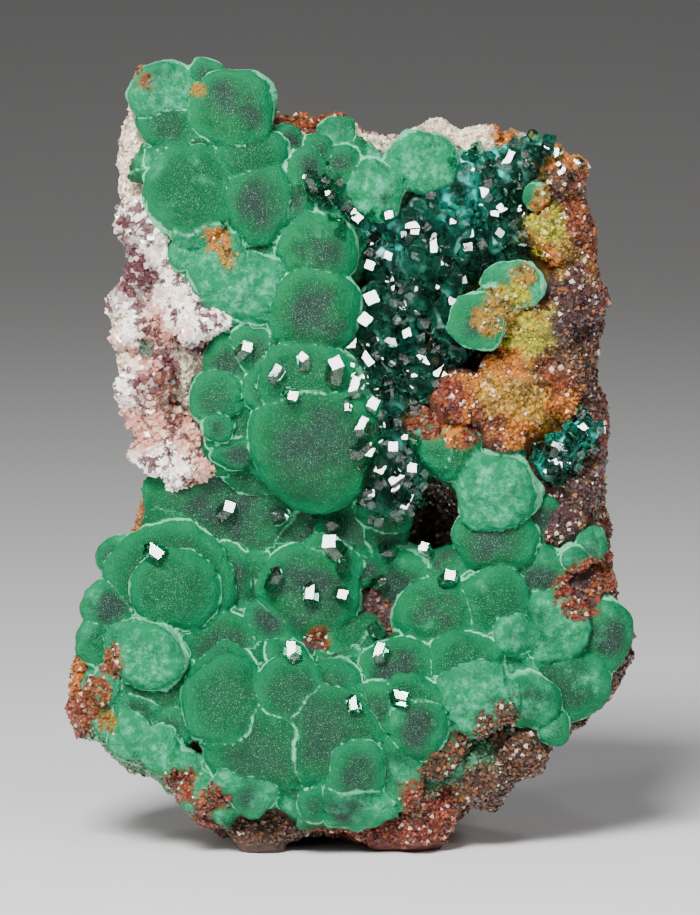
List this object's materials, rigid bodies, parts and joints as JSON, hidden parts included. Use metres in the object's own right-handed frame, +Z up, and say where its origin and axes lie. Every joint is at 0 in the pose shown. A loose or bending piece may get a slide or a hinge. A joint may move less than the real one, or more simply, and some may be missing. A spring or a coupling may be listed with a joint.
{
  "type": "mineral specimen",
  "caption": "Dioptase specimen: deep green crystals in a hollow and scattered on velvety malachite domes, on rusty gossan with white and pink calcite.",
  "frame": {"origin": "middle of the footprint box, on the floor that the specimen stands on", "axes": "+Z up, +X to the right of the show face, the show face looks along -Y"},
  "size_m": [0.0568, 0.0306, 0.0793],
  "materials": {
    "gossan": "rough granular",
    "malachite": "velvety",
    "calcite": "sugary crystalline",
    "dioptase": "glassy clear crystal"
  },
  "bodies": {
    "root": {"gossan_matrix": "gossan", "malachite_crust": "malachite", "malachite_disc": "malachite", "malachite_bud": "malachite", "calcite_patch": "calcite", "dioptase_druse": "dioptase", "dioptase_druse_right": "dioptase", "dioptase_crystal_01": "dioptase", "dioptase_crystal_02": "dioptase", "dioptase_crystal_03": "dioptase", "dioptase_crystal_04": "dioptase", "dioptase_crystal_05": "dioptase", "dioptase_crystal_06": "dioptase", "dioptase_crystal_07": "dioptase", "dioptase_crystal_08": "dioptase", "dioptase_crystal_09": "dioptase", "dioptase_crystal_10": "dioptase", "dioptase_crystal_11": "dioptase", "dioptase_crystal_12": "dioptase", "dioptase_crystal_13": "dioptase", "dioptase_crystal_14": "dioptase", "dioptase_crystal_15": "dioptase", "dioptase_crystal_16": "dioptase", "dioptase_crystal_17": "dioptase", "dioptase_crystal_18": "dioptase", "dioptase_crystal_19": "dioptase", "dioptase_crystal_20": "dioptase", "dioptase_crystal_21": "dioptase", "dioptase_crystal_22": "dioptase", "dioptase_crystal_23": "dioptase", "dioptase_crystal_24": "dioptase"}
  },
  "joints": []
}
